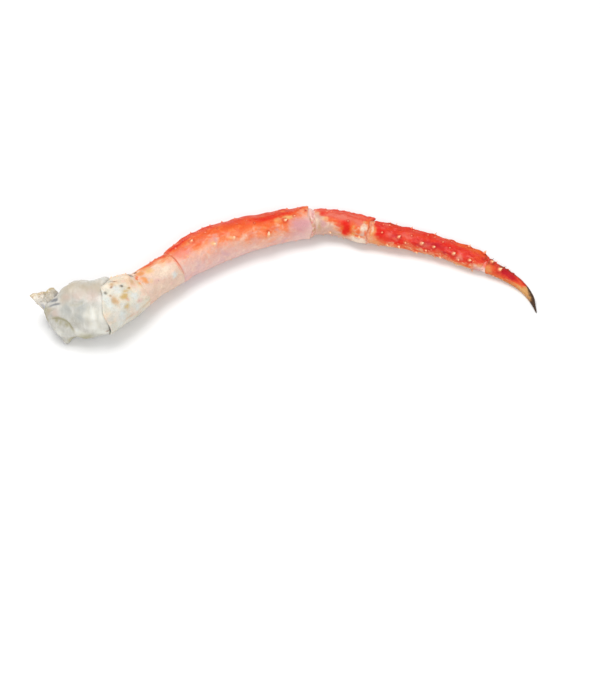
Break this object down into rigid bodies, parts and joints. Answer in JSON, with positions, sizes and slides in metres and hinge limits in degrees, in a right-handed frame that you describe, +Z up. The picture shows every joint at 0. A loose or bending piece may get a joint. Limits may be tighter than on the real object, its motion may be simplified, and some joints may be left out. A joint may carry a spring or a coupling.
{
  "type": "cooked king crab walking leg with shoulder",
  "caption": "Cooked king crab leg lying on its side: a pale shoulder block, then thorny red shell segments that bend at the knee and end in a curved black-tipped claw.",
  "frame": {"origin": "centre of the bounding box at the surface the leg lies on", "axes": "+X from the shoulder to the claw along the leg's chord, +Y towards the knee and the leg's red back, +Z up from the surface"},
  "size_m": [0.4394, 0.1383, 0.0415],
  "materials": {
    "shoulder_meat": "wet, faintly translucent grey-white muscle and thin shell",
    "pale_shell": "wet pale shell, pinkish cream with ochre blotches",
    "red_shell": "wet orange-red shell with cream thorns, pale pink on the underside",
    "joint_skin": "wet wrinkled joint skin",
    "claw": "red shell that turns tan and then to black horn at the tip"
  },
  "bodies": {
    "root": {"shoulder": "shoulder_meat", "coxa": "pale_shell", "ischium": "pale_shell", "merus": "red_shell", "knee_membrane": "joint_skin", "carpus": "red_shell", "wrist_membrane": "joint_skin", "propodus": "red_shell", "claw_membrane": "joint_skin", "dactylus": "claw"}
  },
  "joints": []
}
